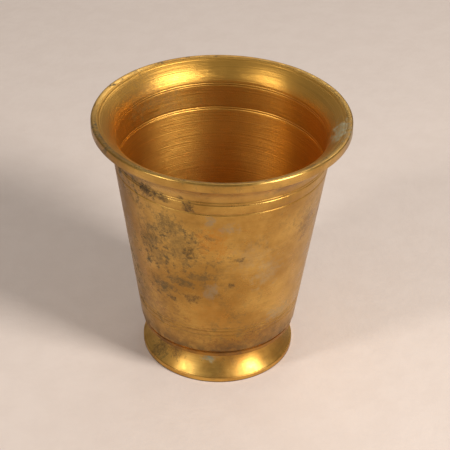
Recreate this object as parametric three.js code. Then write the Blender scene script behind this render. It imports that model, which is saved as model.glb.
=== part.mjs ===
// A turned brass ritual cup: a thin conical wall that flares to a thick lip, a floor disc,
// a flared foot ring and the braze seam between the foot and the floor.
// Millimetres, +Z up, origin at the centre of the foot's underside, +Z along the turning axis.
import * as THREE from 'three';

// Driving dimensions of the wall and its lip
const lipRadius = 50;
const lipHeight = 3.5;
const lipTopWidth = 1.2;
const lipEdgeRound = 0.35;
const flareHeight = 11.4;
const flareUnderstep = 0.5;
const coneHeight = 76.6;
const coneTopRadius = 42.1;
const coneBaseRadius = 31.6;
const wallThickness = 1.3;
const innerFlareDepth = 8.9;
const innerBandHeight = 11.2;
const innerBandSpread = 0.6;

// Driving dimensions of the floor disc, the foot ring and the braze seam
const floorThickness = 1.4;
const floorInset = 0.5;
const footHeight = 13.7;
const footInset = 0.5;
const footBandHeight = 2.2;
const footBandStep = 0.4;
const footNeckInset = 6.1;
const footNeckHeight = 3;
const footWall = 2.2;
const seamHeight = 1.5;
const seamWidth = 1.3;
const seamToeWidth = 0.3;
const fitGap = 0.3;

// How finely the solids are faceted
const turns = 72;
const curveSteps = 7;

// Heights and radii that follow from the sizes above
const floorTop = footHeight + floorThickness;
const coneTop = floorTop + coneHeight;
const lipBase = coneTop + flareHeight;
const lipTop = lipBase + lipHeight;
const innerFlareBase = lipTop - innerFlareDepth;
const innerBandBase = innerFlareBase - innerBandHeight;
const coneSlope = (coneTopRadius - coneBaseRadius) / coneHeight;
const footRadius = coneBaseRadius - footInset;
const footNeckRadius = coneBaseRadius - footNeckInset;

function coneRadius(z) {
  return coneBaseRadius + coneSlope * (z - floorTop);
}

// Points of a curve from one (radius, height) to another: the radius eases in with the given power.
function easedCurve(from, to, power) {
  const points = [];
  for (let step = 1; step <= curveSteps; step += 1) {
    const t = step / curveSteps;
    points.push([from[0] + (to[0] - from[0]) * t ** power, from[1] + (to[1] - from[1]) * t]);
  }
  return points;
}

// A ring or disc turned about Z from its (radius, height) outline, which runs anticlockwise.
function turned(name, outline, colour, roughness) {
  const profile = outline.map(([radius, height]) => new THREE.Vector2(radius, height));
  if (outline[0][0] > 0) {
    profile.push(profile[0].clone());
  }
  const geometry = new THREE.LatheGeometry(profile, turns);
  geometry.rotateX(Math.PI / 2);
  const material = new THREE.MeshStandardMaterial({ color: colour, roughness, metalness: 1 });
  const mesh = new THREE.Mesh(geometry, material);
  mesh.name = name;
  return mesh;
}

// The flared outside leaves the cone smoothly and steps out to the upright lip.
function cupWall() {
  const outerFlareTop = [lipRadius - flareUnderstep, lipBase];
  const innerBandBottom = [coneRadius(innerBandBase) - wallThickness, innerBandBase];
  const innerFlareBottom = [innerBandBottom[0] + innerBandSpread, innerFlareBase];
  const innerLipEdge = [lipRadius - lipTopWidth - lipEdgeRound, lipTop];
  const innerFlare = easedCurve(innerFlareBottom, innerLipEdge, 2);
  const outline = [
    [coneBaseRadius - wallThickness, floorTop],
    [coneBaseRadius, floorTop],
    [coneTopRadius, coneTop],
    ...easedCurve([coneTopRadius, coneTop], outerFlareTop, 2.4),
    [lipRadius, lipBase],
    [lipRadius, lipTop - lipEdgeRound],
    [lipRadius - lipEdgeRound, lipTop],
    ...innerFlare.reverse(),
    innerFlareBottom,
    innerBandBottom,
  ];
  return turned('cup_wall', outline, 0xa9783a, 0.34);
}

// The disc carries the wall's lower edge and closes the cup.
function floorDisc() {
  const radius = coneBaseRadius - floorInset;
  const outline = [
    [0, footHeight],
    [radius, footHeight],
    [radius, floorTop],
    [0, floorTop],
  ];
  return turned('floor_disc', outline, 0x7a4a20, 0.45);
}

// An upright band at the bottom, then a concave sweep up to a straight neck.
function footRing() {
  const bandTop = [footRadius, footBandHeight];
  const sweepStart = [footRadius - footBandStep, footBandHeight];
  const neckBottom = [footNeckRadius, footHeight - footNeckHeight];
  const sweep = easedCurve(neckBottom, sweepStart, 2).reverse();
  const outline = [
    [footRadius - footWall, 0],
    [footRadius, 0],
    bandTop,
    ...sweep,
    neckBottom,
    [footNeckRadius, footHeight],
    [footNeckRadius - footWall, footHeight],
    [footNeckRadius - footWall, footHeight - footNeckHeight],
  ];
  return turned('foot_ring', outline, 0xb58440, 0.32);
}

// The bead of braze fills the corner between the foot's neck and the disc above it.
function brazeSeam() {
  const inner = footNeckRadius + fitGap;
  const outline = [
    [inner, footHeight - seamHeight],
    [inner + seamToeWidth, footHeight - seamHeight],
    [inner + seamWidth, footHeight],
    [inner, footHeight],
  ];
  return turned('braze_seam', outline, 0x4a3018, 0.7);
}

const cup = new THREE.Group();
cup.add(cupWall(), floorDisc(), footRing(), brazeSeam());

export default cup;
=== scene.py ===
import math

import bmesh
import bpy
from mathutils import Matrix, Vector


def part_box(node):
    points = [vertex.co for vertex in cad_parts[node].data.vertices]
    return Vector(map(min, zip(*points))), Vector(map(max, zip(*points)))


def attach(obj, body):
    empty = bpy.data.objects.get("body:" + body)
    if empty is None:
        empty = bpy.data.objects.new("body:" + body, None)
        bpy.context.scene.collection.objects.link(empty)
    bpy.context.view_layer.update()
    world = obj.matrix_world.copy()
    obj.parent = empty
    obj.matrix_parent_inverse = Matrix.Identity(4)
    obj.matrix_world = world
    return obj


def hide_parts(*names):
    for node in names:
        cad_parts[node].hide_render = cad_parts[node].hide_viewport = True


MM = 0.001
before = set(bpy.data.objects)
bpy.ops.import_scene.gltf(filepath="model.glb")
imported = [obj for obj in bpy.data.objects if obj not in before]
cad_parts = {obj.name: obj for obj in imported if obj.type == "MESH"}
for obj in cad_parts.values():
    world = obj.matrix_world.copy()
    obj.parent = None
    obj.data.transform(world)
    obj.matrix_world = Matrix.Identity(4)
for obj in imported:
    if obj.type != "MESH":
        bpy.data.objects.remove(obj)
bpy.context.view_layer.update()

# Sizes that come from the frame
wall_low, wall_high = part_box("cup_wall")
foot_low, foot_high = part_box("foot_ring")
LIP_RADIUS = wall_high[0]
LIP_TOP = wall_high[2]
WALL_BASE = wall_low[2]
FOOT_BASE = foot_low[2]
FOOT_RADIUS = foot_high[0]
FOOT_TOP = foot_high[2]

# Sizes of the turned forms, as in the solids
LIP_HEIGHT = 3.5 * MM
LIP_TOP_WIDTH = 1.2 * MM
FLARE_HEIGHT = 11.4 * MM
FLARE_UNDERSTEP = 0.5 * MM
FLARE_POWER = 2.4
CONE_TOP_RADIUS = 42.1 * MM
CONE_BASE_RADIUS = 31.6 * MM
WALL_THICKNESS = 1.3 * MM
INNER_FLARE_DEPTH = 8.9 * MM
INNER_FLARE_POWER = 2
INNER_BAND_HEIGHT = 11.2 * MM
INNER_BAND_SPREAD = 0.6 * MM
FOOT_BAND_HEIGHT = 2.2 * MM
FOOT_BAND_STEP = 0.4 * MM
FOOT_NECK_RADIUS = 25.5 * MM
FOOT_NECK_HEIGHT = 3 * MM
FOOT_SWEEP_POWER = 2
FOOT_WALL = 2.2 * MM

# Worn edges, which are rounder than the solids' edges
LIP_ROUND = 0.6 * MM
LIP_STEP_INSET = 0.15 * MM
LIP_STEP_HEIGHT = 0.25 * MM
INNER_EDGE_DROP = 0.25 * MM
FOOT_EDGE_ROUND = 0.3 * MM

# Wear around the lip: its mean depth, and its two waves as (count around the lip, phase)
WEAR_DEPTH = 0.05 * MM
LONG_WAVE = (3, 0.7)
SHORT_WAVE = (11, 2.1)

# Heights and slopes that follow from the sizes above
LIP_BASE = LIP_TOP - LIP_HEIGHT
CONE_TOP = LIP_BASE - FLARE_HEIGHT
INNER_FLARE_BASE = LIP_TOP - INNER_FLARE_DEPTH
INNER_BAND_BASE = INNER_FLARE_BASE - INNER_BAND_HEIGHT
NECK_BOTTOM = FOOT_TOP - FOOT_NECK_HEIGHT
CONE_SLOPE = (CONE_TOP_RADIUS - CONE_BASE_RADIUS) / (CONE_TOP - WALL_BASE)

# Turned grooves as (height, half width, depth)
OUTER_GROOVES = (
    (93.9 * MM, 0.45 * MM, 0.20 * MM),
    (92.8 * MM, 0.45 * MM, 0.20 * MM),
    (88.3 * MM, 0.60 * MM, 0.26 * MM),
    (29.3 * MM, 0.40 * MM, 0.14 * MM),
    (27.9 * MM, 0.40 * MM, 0.16 * MM),
    (25.6 * MM, 0.45 * MM, 0.16 * MM),
)
INNER_GROOVES = (
    (105.7 * MM, 0.22 * MM, 0.14 * MM),
    (98.4 * MM, 0.34 * MM, 0.11 * MM),
    (97.5 * MM, 0.34 * MM, 0.11 * MM),
    (87.6 * MM, 0.36 * MM, 0.15 * MM),
    (86.7 * MM, 0.36 * MM, 0.15 * MM),
)

# How finely the pieces are meshed
SEGMENTS = 240
COARSE_STEP = 1.6 * MM
GROOVE_SAMPLES = 5
LIP_ARC_STEPS = 6
FOOT_ARC_STEPS = 4
HEIGHT_DIGITS = 7
SHARP_ANGLE = math.radians(38)


def cone_radius(z):
    return CONE_BASE_RADIUS + CONE_SLOPE * (z - WALL_BASE)


def outer_radius(z):
    if z <= CONE_TOP:
        return cone_radius(z)
    t = (z - CONE_TOP) / FLARE_HEIGHT
    return CONE_TOP_RADIUS + (LIP_RADIUS - FLARE_UNDERSTEP - CONE_TOP_RADIUS) * t ** FLARE_POWER


def inner_radius(z):
    band_radius = cone_radius(INNER_BAND_BASE) - WALL_THICKNESS
    if z <= INNER_BAND_BASE:
        return cone_radius(z) - WALL_THICKNESS
    if z <= INNER_FLARE_BASE:
        return band_radius + INNER_BAND_SPREAD * (z - INNER_BAND_BASE) / INNER_BAND_HEIGHT
    t = (z - INNER_FLARE_BASE) / INNER_FLARE_DEPTH
    flare_radius = band_radius + INNER_BAND_SPREAD
    lip_edge_radius = LIP_RADIUS - LIP_TOP_WIDTH - LIP_ROUND
    return flare_radius + (lip_edge_radius - flare_radius) * t ** INNER_FLARE_POWER


def foot_radius(z):
    t = (z - FOOT_BAND_HEIGHT) / (NECK_BOTTOM - FOOT_BAND_HEIGHT)
    if t >= 1:
        return FOOT_NECK_RADIUS
    sweep_width = FOOT_RADIUS - FOOT_BAND_STEP - FOOT_NECK_RADIUS
    return FOOT_NECK_RADIUS + sweep_width * (1 - t) ** FOOT_SWEEP_POWER


def groove_depth(z, grooves):
    depth = 0.0
    for height, half_width, cut in grooves:
        distance = abs(z - height)
        if distance < half_width:
            depth += cut * (0.5 + 0.5 * math.cos(math.pi * distance / half_width))
    return depth


def rim_wear(angle, height):
    """The lip is drawn in a little and unevenly, most at its top."""
    share = max(0.0, (height - LIP_BASE) / LIP_HEIGHT)
    waves = 1.0
    for count, phase in (LONG_WAVE, SHORT_WAVE):
        waves *= math.sin(count * angle + phase)
    return share * WEAR_DEPTH * (1 + waves)


def sample_heights(low, high, grooves):
    """Even heights from low to high, with more of them across each groove."""
    count = max(2, round((high - low) / COARSE_STEP))
    heights = {round(low + (high - low) * i / count, HEIGHT_DIGITS) for i in range(count + 1)}
    for height, half_width, _ in grooves:
        for step in range(-GROOVE_SAMPLES, GROOVE_SAMPLES + 1):
            heights.add(round(height + half_width * step / GROOVE_SAMPLES, HEIGHT_DIGITS))
    return sorted(z for z in heights if low <= z <= high)


def arc(centre, radius, start, end, steps):
    points = []
    for step in range(steps + 1):
        angle = math.radians(start + (end - start) * step / steps)
        points.append((centre[0] + radius * math.cos(angle), centre[1] + radius * math.sin(angle)))
    return points


def turned(name, outline, inside_from=None, wear=None):
    """A closed ring turned about Z from an anticlockwise (radius, height) outline.

    The faces that start at the outline's point inside_from or later take the second material.
    """
    mesh = bpy.data.meshes.new(name)
    shape = bmesh.new()
    rings = []
    for radius, height in outline:
        ring = []
        for step in range(SEGMENTS):
            angle = 2 * math.pi * step / SEGMENTS
            r = radius - (wear(angle, height) if wear else 0.0)
            ring.append(shape.verts.new((r * math.sin(angle), -r * math.cos(angle), height)))
        rings.append(ring)
    for index, ring in enumerate(rings):
        above = rings[(index + 1) % len(rings)]
        for step in range(SEGMENTS):
            after = (step + 1) % SEGMENTS
            face = shape.faces.new((ring[step], ring[after], above[after], above[step]))
            face.smooth = True
            if inside_from is not None and index >= inside_from:
                face.material_index = 1
    bmesh.ops.recalc_face_normals(shape, faces=shape.faces)
    shape.to_mesh(mesh)
    shape.free()
    mesh.set_sharp_from_angle(angle=SHARP_ANGLE)
    piece = bpy.data.objects.new(name, mesh)
    bpy.context.scene.collection.objects.link(piece)
    return piece


# Places of the colour sockets on a mix node, where several sockets share a name
MIX_FIRST = 6
MIX_SECOND = 7
MIX_RESULT = 2


class Nodes:
    """Short calls that add and link the nodes of one material."""

    def __init__(self, name):
        self.material = bpy.data.materials.new(name)
        self.material.use_nodes = True
        self.tree = self.material.node_tree
        self.shader = self.tree.nodes["Principled BSDF"]
        self.place = self.tree.nodes.new("ShaderNodeTexCoord").outputs["Object"]

    def put(self, socket, value):
        if isinstance(value, bpy.types.NodeSocket):
            self.tree.links.new(value, socket)
        else:
            socket.default_value = value

    def math(self, operation, first, second, clamp=False):
        node = self.tree.nodes.new("ShaderNodeMath")
        node.operation = operation
        node.use_clamp = clamp
        self.put(node.inputs[0], first)
        self.put(node.inputs[1], second)
        return node.outputs[0]

    def most(self, values):
        total = values[0]
        for value in values[1:]:
            total = self.math("MAXIMUM", total, value)
        return total

    def vector(self, operation, first, second):
        node = self.tree.nodes.new("ShaderNodeVectorMath")
        node.operation = operation
        self.put(node.inputs[0], first)
        self.put(node.inputs[1], second)
        return node.outputs[0]

    def length(self, vector):
        node = self.tree.nodes.new("ShaderNodeVectorMath")
        node.operation = "LENGTH"
        self.put(node.inputs[0], vector)
        return node.outputs["Value"]

    def noise(self, scale, detail, rough, place=None):
        node = self.tree.nodes.new("ShaderNodeTexNoise")
        self.put(node.inputs["Vector"], self.place if place is None else place)
        node.inputs["Scale"].default_value = scale
        node.inputs["Detail"].default_value = detail
        node.inputs["Roughness"].default_value = rough
        return node.outputs["Fac"]

    def fade(self, value, low, high, to_low=0.0, to_high=1.0):
        node = self.tree.nodes.new("ShaderNodeMapRange")
        node.interpolation_type = "SMOOTHSTEP"
        self.put(node.inputs["Value"], value)
        node.inputs["From Min"].default_value = low
        node.inputs["From Max"].default_value = high
        node.inputs["To Min"].default_value = to_low
        node.inputs["To Max"].default_value = to_high
        return node.outputs["Result"]

    def mix(self, amount, first, second):
        node = self.tree.nodes.new("ShaderNodeMix")
        node.data_type = "RGBA"
        self.put(node.inputs["Factor"], amount)
        self.put(node.inputs[MIX_FIRST], first)
        self.put(node.inputs[MIX_SECOND], second)
        return node.outputs[MIX_RESULT]

    def stretched(self, around, upwards):
        return self.vector("MULTIPLY", self.place, (around, around, upwards))

    def along(self, axis):
        node = self.tree.nodes.new("ShaderNodeSeparateXYZ")
        self.put(node.inputs[0], self.place)
        return node.outputs[axis]

    def bump(self, strength, distance, value):
        node = self.tree.nodes.new("ShaderNodeBump")
        node.inputs["Strength"].default_value = strength
        node.inputs["Distance"].default_value = distance
        self.put(node.inputs["Height"], value)
        self.tree.links.new(node.outputs["Normal"], self.shader.inputs["Normal"])


# Linear colours of the brass and of what lies on it, and of the painted shade on the foot
BRIGHT_BRASS = (0.78, 0.47, 0.115, 1)
BROWN_BRASS = (0.50, 0.245, 0.048, 1)
ORANGE_BRASS = (0.56, 0.235, 0.035, 1)
OUTSIDE_BRIGHT = (0.62, 0.370, 0.095, 1)
OUTSIDE_BROWN = (0.40, 0.210, 0.045, 1)
INSIDE_BRIGHT = (0.78, 0.440, 0.100, 1)
INSIDE_BROWN = (0.60, 0.300, 0.045, 1)
DEEP_BRASS = (0.36, 0.165, 0.035, 1)
DARK_PATINA = (0.060, 0.034, 0.016, 1)
GREEN_PATINA = (0.120, 0.083, 0.033, 1)
GREY_HAZE = (0.33, 0.26, 0.16, 1)
BROWN_HAZE = (0.22, 0.110, 0.042, 1)
VERDIGRIS = (0.50, 0.50, 0.34, 1)
# Dark grime, which is also the colour of the painted contact shadow and neck shade on the foot
GRIME_AND_PAINTED_SHADE = (0.075, 0.036, 0.016, 1)

# Patina as (angle from the front in degrees, height, half width, half height, amount).
# The spots that the photograph can't show, at the back and the far sides, are made up.
BLACK_SPOTS = (
    (-38.9, 92.4 * MM, 4.6 * MM, 2.6 * MM, 0.92),
    (-31.3, 92.0 * MM, 3.6 * MM, 1.8 * MM, 0.75),
    (-16.5, 90.2 * MM, 2.4 * MM, 2.4 * MM, 0.85),
    (-21.0, 94.4 * MM, 1.6 * MM, 1.2 * MM, 0.70),
    (-17.2, 68.4 * MM, 2.2 * MM, 2.6 * MM, 0.60),
    (7.7, 53.0 * MM, 1.1 * MM, 1.1 * MM, 0.95),
    (10.9, 65.7 * MM, 2.4 * MM, 0.9 * MM, 0.70),
    (-15.5, 44.3 * MM, 3.0 * MM, 2.2 * MM, 0.62),
    (-31.0, 41.9 * MM, 2.2 * MM, 1.4 * MM, 0.60),
    (-64.5, 28.1 * MM, 2.4 * MM, 2.6 * MM, 0.60),
)
GREEN_SPOTS = (
    (-42.0, 69.2 * MM, 4.6 * MM, 7.0 * MM, 0.80),
    (-28.0, 79.4 * MM, 5.0 * MM, 5.0 * MM, 0.70),
    (-37.4, 61.8 * MM, 4.4 * MM, 4.0 * MM, 0.62),
    (-22.0, 70.0 * MM, 6.0 * MM, 9.0 * MM, 0.50),
    (-37.4, 46.2 * MM, 6.0 * MM, 3.2 * MM, 0.85),
    (-23.4, 52.3 * MM, 6.0 * MM, 2.2 * MM, 0.72),
    (-10.7, 56.0 * MM, 5.0 * MM, 1.6 * MM, 0.60),
)
BACK_SPOTS = (
    (118.0, 74.0 * MM, 5.0 * MM, 9.0 * MM, 0.62),
    (172.0, 44.0 * MM, 8.0 * MM, 4.0 * MM, 0.70),
    (-128.0, 82.0 * MM, 6.0 * MM, 3.0 * MM, 0.72),
    (-150.0, 60.0 * MM, 6.0 * MM, 10.0 * MM, 0.50),
    (-96.0, 38.0 * MM, 5.0 * MM, 5.0 * MM, 0.50),
)
GREY_SPOTS = (
    (-4.8, 84.8 * MM, 1.8 * MM, 2.2 * MM, 0.60),
    (5.6, 81.5 * MM, 3.2 * MM, 1.8 * MM, 0.55),
    (18.4, 66.0 * MM, 6.0 * MM, 7.0 * MM, 0.25),
    (-4.2, 49.2 * MM, 2.4 * MM, 3.6 * MM, 0.60),
    (30.0, 57.0 * MM, 5.0 * MM, 6.0 * MM, 0.40),
    (44.2, 31.6 * MM, 5.5 * MM, 3.0 * MM, 0.55),
    (78.0, 104.5 * MM, 6.0 * MM, 4.0 * MM, 0.85),
)
BROWN_SPOTS = (
    (56.6, 73.2 * MM, 5.0 * MM, 6.0 * MM, 0.60),
    (34.6, 97.3 * MM, 6.0 * MM, 1.6 * MM, 0.50),
    (32.0, 22.0 * MM, 10.0 * MM, 5.5 * MM, 0.62),
    (8.0, 19.5 * MM, 10.0 * MM, 4.0 * MM, 0.62),
    (-25.0, 20.0 * MM, 8.0 * MM, 3.2 * MM, 0.45),
    (-58.0, 36.0 * MM, 5.0 * MM, 9.0 * MM, 0.40),
    (-42.0, 33.0 * MM, 9.0 * MM, 8.0 * MM, 0.55),
    (-16.0, 25.0 * MM, 9.0 * MM, 4.0 * MM, 0.40),
)
ORANGE_SPOTS = (
    (-3.7, 75.0 * MM, 5.0 * MM, 6.5 * MM, 0.70),
    (-6.0, 36.0 * MM, 8.0 * MM, 10.0 * MM, 0.30),
    (-52.0, 60.0 * MM, 7.0 * MM, 24.0 * MM, 0.25),
    (150.0, 60.0 * MM, 9.0 * MM, 14.0 * MM, 0.60),
)
FOOT_DARK_SPOTS = (
    (-56.0, 5.1 * MM, 4.6 * MM, 3.4 * MM, 0.70),
    (-41.0, 8.5 * MM, 4.0 * MM, 3.4 * MM, 0.62),
    (88.0, 6.0 * MM, 5.0 * MM, 4.0 * MM, 0.50),
    (170.0, 6.0 * MM, 7.0 * MM, 4.0 * MM, 0.55),
)
FOOT_PALE_SPOTS = ((-6.7, 8.8 * MM, 2.4 * MM, 1.7 * MM, 1.0),)
INSIDE_HAZE_SPOTS = (
    (-129.0, 101.0 * MM, 9.0 * MM, 5.0 * MM, 0.45),
    (-138.0, 95.0 * MM, 10.0 * MM, 4.0 * MM, 0.55),
    (-148.0, 91.0 * MM, 8.0 * MM, 4.0 * MM, 0.40),
)
INSIDE_PALE_SPOTS = ((81.0, 105.0 * MM, 6.0 * MM, 3.4 * MM, 0.85),)
RAGGEDNESS = 7.5

# How the brass takes the light, and what stains, pits and unevenness do to it
ANISOTROPY = 0.6
QUARTER_TURN = 0.25
STREAK_AMOUNT = 0.30
PIT_AMOUNT = 0.5
PIT_DEPTH = 0.6
UNEVEN_DEPTH = 0.5
GLOSSIER_BY = 0.06
DULLER_BY = 0.09
RELIEF_STRENGTH = 0.26
RELIEF_DEPTH = 0.25 * MM
STAIN_DULLING = 0.25
STAIN_METAL_LOSS = 0.45
HAZE_STAIN = 0.6


def spots(nodes, places, radius_at):
    """How much of the listed spots lies at each point, with ragged and broken edges."""
    ragged = nodes.math("SUBTRACT", nodes.noise(scale=300, detail=10, rough=0.80), 0.5)
    ragged = nodes.math("MULTIPLY", ragged, RAGGEDNESS)
    amounts = []
    for angle, height, half_width, half_height, amount in places:
        turn = math.radians(angle)
        radius = radius_at(height)
        centre = (radius * math.sin(turn), -radius * math.cos(turn), height)
        offset = nodes.vector("SUBTRACT", nodes.place, centre)
        scaled = nodes.vector("MULTIPLY", offset, (1 / half_width, 1 / half_width, 1 / half_height))
        distance = nodes.math("ADD", nodes.length(scaled), ragged)
        amounts.append(nodes.fade(distance, low=0.45, high=1.45, to_low=amount, to_high=0.0))
    broken = nodes.fade(nodes.noise(scale=620, detail=8, rough=0.8), low=0.42, high=0.56, to_low=0.45)
    return nodes.math("MULTIPLY", nodes.most(amounts), broken)


def brass(name, bright, brown, roughness, marks, patchy=1.0):
    """Turned brass: uneven tone, fine circular tool marks, pits and a soft gloss."""
    nodes = Nodes(name)
    clouds = nodes.noise(scale=38, detail=6, rough=0.62)
    tone = nodes.fade(clouds, low=0.34, high=0.66, to_low=0.5 - 0.5 * patchy, to_high=0.5 + 0.5 * patchy)
    colour = nodes.mix(tone, bright, brown)
    streaks = nodes.noise(scale=1, detail=5, rough=0.62, place=nodes.stretched(around=22, upwards=2600))
    deep = nodes.fade(streaks, low=0.38, high=0.78, to_high=STREAK_AMOUNT)
    colour = nodes.mix(deep, colour, DEEP_BRASS)
    pits = nodes.fade(nodes.noise(scale=1100, detail=3, rough=0.6), low=0.68, high=0.78)
    colour = nodes.mix(nodes.math("MULTIPLY", pits, PIT_AMOUNT), colour, DARK_PATINA)
    uneven = nodes.noise(scale=190, detail=6, rough=0.62)
    glossy = roughness - GLOSSIER_BY * patchy
    dull = roughness + DULLER_BY * patchy
    rough = nodes.fade(uneven, low=0.3, high=0.7, to_low=glossy, to_high=dull)
    marked = nodes.math("MULTIPLY", streaks, marks)
    lumps = nodes.math("MULTIPLY", uneven, UNEVEN_DEPTH * patchy)
    holes = nodes.math("MULTIPLY", pits, PIT_DEPTH)
    relief = nodes.math("SUBTRACT", nodes.math("ADD", marked, lumps), holes)
    nodes.bump(RELIEF_STRENGTH, RELIEF_DEPTH, relief)
    nodes.shader.inputs["Metallic"].default_value = 1.0
    stretch_highlights(nodes)
    return nodes, colour, rough


def stretch_highlights(nodes):
    """Tool marks run around the cup, so the highlights stretch up and down."""
    nodes.shader.inputs["Anisotropic"].default_value = ANISOTROPY
    nodes.shader.inputs["Anisotropic Rotation"].default_value = QUARTER_TURN
    tangent = nodes.tree.nodes.new("ShaderNodeTangent")
    tangent.direction_type = "RADIAL"
    tangent.axis = "Z"
    nodes.tree.links.new(tangent.outputs[0], nodes.shader.inputs["Tangent"])


def finish_brass(nodes, colour, rough, stain_and_painted_shade):
    """Stained places, and the foot's painted shade, are duller and less metallic."""
    nodes.put(nodes.shader.inputs["Base Color"], colour)
    duller = nodes.math("MULTIPLY", stain_and_painted_shade, STAIN_DULLING)
    nodes.put(nodes.shader.inputs["Roughness"], nodes.math("ADD", rough, duller, clamp=True))
    less_metal = nodes.math("MULTIPLY", stain_and_painted_shade, STAIN_METAL_LOSS)
    nodes.put(nodes.shader.inputs["Metallic"], nodes.math("SUBTRACT", 1.0, less_metal))
    return nodes.material


def mottling(nodes):
    """Fine dark mottling in wide patches, denser on the cup's left."""
    patches = nodes.fade(nodes.noise(scale=30, detail=3, rough=0.5), low=0.42, high=0.60)
    specks = nodes.fade(nodes.noise(scale=280, detail=10, rough=0.78), low=0.49, high=0.62)
    leftward = nodes.fade(nodes.along("X"), low=-26 * MM, high=14 * MM, to_low=1.0, to_high=0.40)
    return nodes.math("MULTIPLY", nodes.math("MULTIPLY", patches, specks), leftward)


def seam_dirt(nodes):
    """Broken grime that thins out above the wall's lower edge."""
    dirt = nodes.fade(nodes.noise(scale=300, detail=6, rough=0.7), low=0.36, high=0.60)
    thick_below = WALL_BASE + 0.2 * MM
    clean_above = WALL_BASE + 8.0 * MM
    edge = nodes.fade(nodes.along("Z"), low=thick_below, high=clean_above, to_low=0.80, to_high=0.0)
    return nodes.math("MULTIPLY", dirt, edge)


def outside_brass():
    nodes, colour, rough = brass("outside_brass", OUTSIDE_BRIGHT, OUTSIDE_BROWN, roughness=0.31, marks=0.8)
    orange = spots(nodes, ORANGE_SPOTS, outer_radius)
    colour = nodes.mix(orange, colour, ORANGE_BRASS)
    grey = spots(nodes, GREY_SPOTS, outer_radius)
    colour = nodes.mix(grey, colour, GREY_HAZE)
    brown = spots(nodes, BROWN_SPOTS, outer_radius)
    colour = nodes.mix(brown, colour, BROWN_HAZE)
    green = nodes.most([spots(nodes, GREEN_SPOTS + BACK_SPOTS, outer_radius), mottling(nodes)])
    colour = nodes.mix(green, colour, GREEN_PATINA)
    black = spots(nodes, BLACK_SPOTS, outer_radius)
    colour = nodes.mix(black, colour, DARK_PATINA)
    seam = seam_dirt(nodes)
    colour = nodes.mix(seam, colour, GRIME_AND_PAINTED_SHADE)
    return finish_brass(nodes, colour, rough, nodes.most([green, black, grey, seam]))


def inside_brass():
    nodes, colour, rough = brass(
        "inside_brass", INSIDE_BRIGHT, INSIDE_BROWN, roughness=0.38, marks=3.2, patchy=0.2)
    haze = spots(nodes, INSIDE_HAZE_SPOTS, inner_radius)
    colour = nodes.mix(haze, colour, BROWN_HAZE)
    pale = spots(nodes, INSIDE_PALE_SPOTS, inner_radius)
    colour = nodes.mix(pale, colour, VERDIGRIS)
    hazy = nodes.math("MULTIPLY", haze, HAZE_STAIN)
    return finish_brass(nodes, colour, rough, nodes.most([hazy, pale]))


def foot_brass():
    nodes, colour, rough = brass("foot_brass", BRIGHT_BRASS, BROWN_BRASS, roughness=0.42, marks=0.6)
    height = nodes.along("Z")
    patches = nodes.fade(nodes.noise(scale=110, detail=8, rough=0.72), low=0.58, high=0.72, to_high=0.45)
    dark = spots(nodes, FOOT_DARK_SPOTS, foot_radius)
    # Painted contact shadow: the foot's lowest 0.8 mm is darkened where it stands on the floor.
    painted_contact_shadow = nodes.fade(height, low=0.2 * MM, high=0.8 * MM, to_low=0.85, to_high=0.0)
    # Painted shade: the top of the foot's neck is darkened where the body's overhang shades it.
    painted_neck_shade = nodes.fade(height, low=FOOT_TOP - 2.2 * MM, high=FOOT_TOP - 0.6 * MM, to_high=0.85)
    # One mask holds the foot's real patina patches and spots together with its two painted shades.
    stain_and_painted_shade = nodes.most([patches, dark, painted_contact_shadow, painted_neck_shade])
    colour = nodes.mix(stain_and_painted_shade, colour, GRIME_AND_PAINTED_SHADE)
    pale = spots(nodes, FOOT_PALE_SPOTS, foot_radius)
    colour = nodes.mix(pale, colour, VERDIGRIS)
    return finish_brass(nodes, colour, rough, nodes.most([stain_and_painted_shade, pale]))


def floor_brass():
    nodes, colour, rough = brass("floor_brass", BROWN_BRASS, DEEP_BRASS, roughness=0.40, marks=0.4)
    clouds = nodes.noise(scale=90, detail=6, rough=0.7)
    tarnish = nodes.fade(clouds, low=0.42, high=0.64, to_low=0.1, to_high=0.6)
    colour = nodes.mix(tarnish, colour, GRIME_AND_PAINTED_SHADE)
    return finish_brass(nodes, colour, rough, tarnish)


def seam_braze():
    nodes, colour, rough = brass("seam_braze", BROWN_HAZE, GRIME_AND_PAINTED_SHADE, roughness=0.55, marks=0.2)
    clouds = nodes.noise(scale=240, detail=6, rough=0.7)
    dirt = nodes.fade(clouds, low=0.35, high=0.6, to_low=0.2, to_high=0.9)
    colour = nodes.mix(dirt, colour, GRIME_AND_PAINTED_SHADE)
    return finish_brass(nodes, colour, rough, dirt)


def cup_wall():
    outer = [(outer_radius(z) - groove_depth(z, OUTER_GROOVES), z)
             for z in sample_heights(WALL_BASE, LIP_BASE, OUTER_GROOVES)]
    inner = [(inner_radius(z) + groove_depth(z, INNER_GROOVES), z)
             for z in sample_heights(WALL_BASE, LIP_TOP - INNER_EDGE_DROP, INNER_GROOVES)]
    step = [(LIP_RADIUS - LIP_STEP_INSET, LIP_BASE), (LIP_RADIUS, LIP_BASE + LIP_STEP_HEIGHT)]
    rounded = arc((LIP_RADIUS - LIP_ROUND, LIP_TOP - LIP_ROUND), LIP_ROUND, 0, 90, LIP_ARC_STEPS)
    outside = outer + step + rounded
    outline = outside + inner[::-1]
    piece = turned("cup_wall_turned", outline, inside_from=len(outside), wear=rim_wear)
    piece.data.materials.append(outside_brass())
    piece.data.materials.append(inside_brass())
    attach(piece, "root")
    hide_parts("cup_wall")


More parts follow.
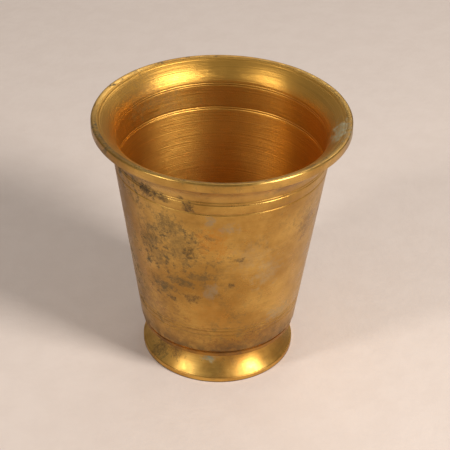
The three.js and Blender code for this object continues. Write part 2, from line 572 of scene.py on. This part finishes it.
def foot_ring():
    edge = FOOT_EDGE_ROUND
    band = arc((FOOT_RADIUS - edge, FOOT_BASE + edge), edge, -90, 0, FOOT_ARC_STEPS)
    band += arc((FOOT_RADIUS - edge, FOOT_BAND_HEIGHT - edge), edge, 0, 90, FOOT_ARC_STEPS)
    sweep = [(foot_radius(z), z) for z in sample_heights(FOOT_BAND_HEIGHT, FOOT_TOP, ())]
    hollow = [
        (FOOT_NECK_RADIUS - FOOT_WALL, FOOT_TOP),
        (FOOT_NECK_RADIUS - FOOT_WALL, NECK_BOTTOM),
        (FOOT_RADIUS - FOOT_WALL, FOOT_BASE),
    ]
    piece = turned("foot_ring_turned", band + sweep + hollow)
    piece.data.materials.append(foot_brass())
    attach(piece, "root")
    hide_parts("foot_ring")


def dress_solid(node, material):
    """The solid's own shape stays and gets its material."""
    solid = bpy.data.objects[node]
    solid.data.materials.clear()
    solid.data.materials.append(material)


# The camera's place relative to the foot, from the photograph's perspective
FRAME_PIXELS = 450
FOCAL_PIXELS = 1409
SENSOR_MM = 36
CAMERA_BACK = 467.3 * MM
CAMERA_UP = 373.2 * MM
CAMERA_CLIP = 10 * MM
CAMERA_PITCH = math.radians(34.17)
CAMERA_YAW = math.radians(0.256)
CAMERA_ROLL = math.radians(1.348)


def camera():
    ahead = Vector((math.sin(CAMERA_YAW) * math.cos(CAMERA_PITCH),
                    math.cos(CAMERA_YAW) * math.cos(CAMERA_PITCH),
                    -math.sin(CAMERA_PITCH)))
    level = Vector((math.cos(CAMERA_YAW), -math.sin(CAMERA_YAW), 0))
    above = level.cross(ahead)
    right = level * math.cos(CAMERA_ROLL) + above * math.sin(CAMERA_ROLL)
    up = above * math.cos(CAMERA_ROLL) - level * math.sin(CAMERA_ROLL)
    data = bpy.data.cameras.new("camera")
    data.sensor_width = SENSOR_MM
    data.lens = FOCAL_PIXELS / FRAME_PIXELS * SENSOR_MM
    data.clip_start = CAMERA_CLIP
    eye = bpy.data.objects.new("camera", data)
    turn = Matrix((right, up, -ahead)).transposed().to_4x4()
    eye.matrix_world = Matrix.Translation((0, -CAMERA_BACK, CAMERA_UP)) @ turn
    bpy.context.scene.collection.objects.link(eye)
    bpy.context.scene.camera = eye


# Softboxes as (name, angle from the front in degrees, distance, height, width, depth, watts), in metres
SOFTBOXES = (
    ("key_softbox", 56, 0.80, 0.64, 0.26, 0.34, 9.6),
    ("left_softbox", -54, 0.80, 0.66, 0.14, 0.24, 3.0),
    ("back_softbox", 165, 0.70, 0.75, 0.50, 0.30, 1.2),
)
CUP_MIDDLE = (0, 0, 60 * MM)
LAMP_COLOUR = (1.0, 0.975, 0.94)
WORLD_COLOUR = (1.0, 0.965, 0.93, 1)
WORLD_STRENGTH = 0.25


def softbox(name, place, width, depth, watts):
    """A rectangular lamp that faces the middle of the cup."""
    data = bpy.data.lights.new(name, "AREA")
    data.shape = "RECTANGLE"
    data.size = width
    data.size_y = depth
    data.energy = watts
    data.color = LAMP_COLOUR
    lamp = bpy.data.objects.new(name, data)
    lamp.location = place
    lamp.rotation_euler = (Vector(CUP_MIDDLE) - Vector(place)).to_track_quat("-Z", "Y").to_euler()
    bpy.context.scene.collection.objects.link(lamp)


def studio():
    for name, angle, distance, height, width, depth, watts in SOFTBOXES:
        turn = math.radians(angle)
        place = (distance * math.sin(turn), -distance * math.cos(turn), height)
        softbox(name, place, width, depth, watts)
    world = bpy.data.worlds.new("studio")
    world.use_nodes = True
    background = world.node_tree.nodes["Background"]
    background.inputs["Color"].default_value = WORLD_COLOUR
    background.inputs["Strength"].default_value = WORLD_STRENGTH
    bpy.context.scene.world = world


# The pale floor, in metres and linear colours
FLOOR_HALF_WIDTH = 3.0
PAPER_DARKER = (0.72, 0.61, 0.54, 1)
PAPER_LIGHTER = (0.74, 0.63, 0.56, 1)
PAPER_ROUGHNESS = 0.85
PAPER_GRAIN_STRENGTH = 0.25
PAPER_GRAIN_DEPTH = 0.8 * MM


def floor():
    half = FLOOR_HALF_WIDTH
    mesh = bpy.data.meshes.new("floor")
    corners = [(-half, -half, 0), (half, -half, 0), (half, half, 0), (-half, half, 0)]
    mesh.from_pydata(corners, [], [(0, 1, 2, 3)])
    plane = bpy.data.objects.new("floor", mesh)
    bpy.context.scene.collection.objects.link(plane)
    nodes = Nodes("floor_paper")
    tone = nodes.fade(nodes.noise(scale=70, detail=5, rough=0.6), low=0.35, high=0.65)
    nodes.put(nodes.shader.inputs["Base Color"], nodes.mix(tone, PAPER_DARKER, PAPER_LIGHTER))
    nodes.shader.inputs["Roughness"].default_value = PAPER_ROUGHNESS
    grain = nodes.noise(scale=240, detail=6, rough=0.6)
    nodes.bump(PAPER_GRAIN_STRENGTH, PAPER_GRAIN_DEPTH, grain)
    mesh.materials.append(nodes.material)


cup_wall()
foot_ring()
dress_solid("floor_disc", floor_brass())
dress_solid("braze_seam", seam_braze())
camera()
studio()
floor()
bpy.context.scene.view_settings.view_transform = "Standard"
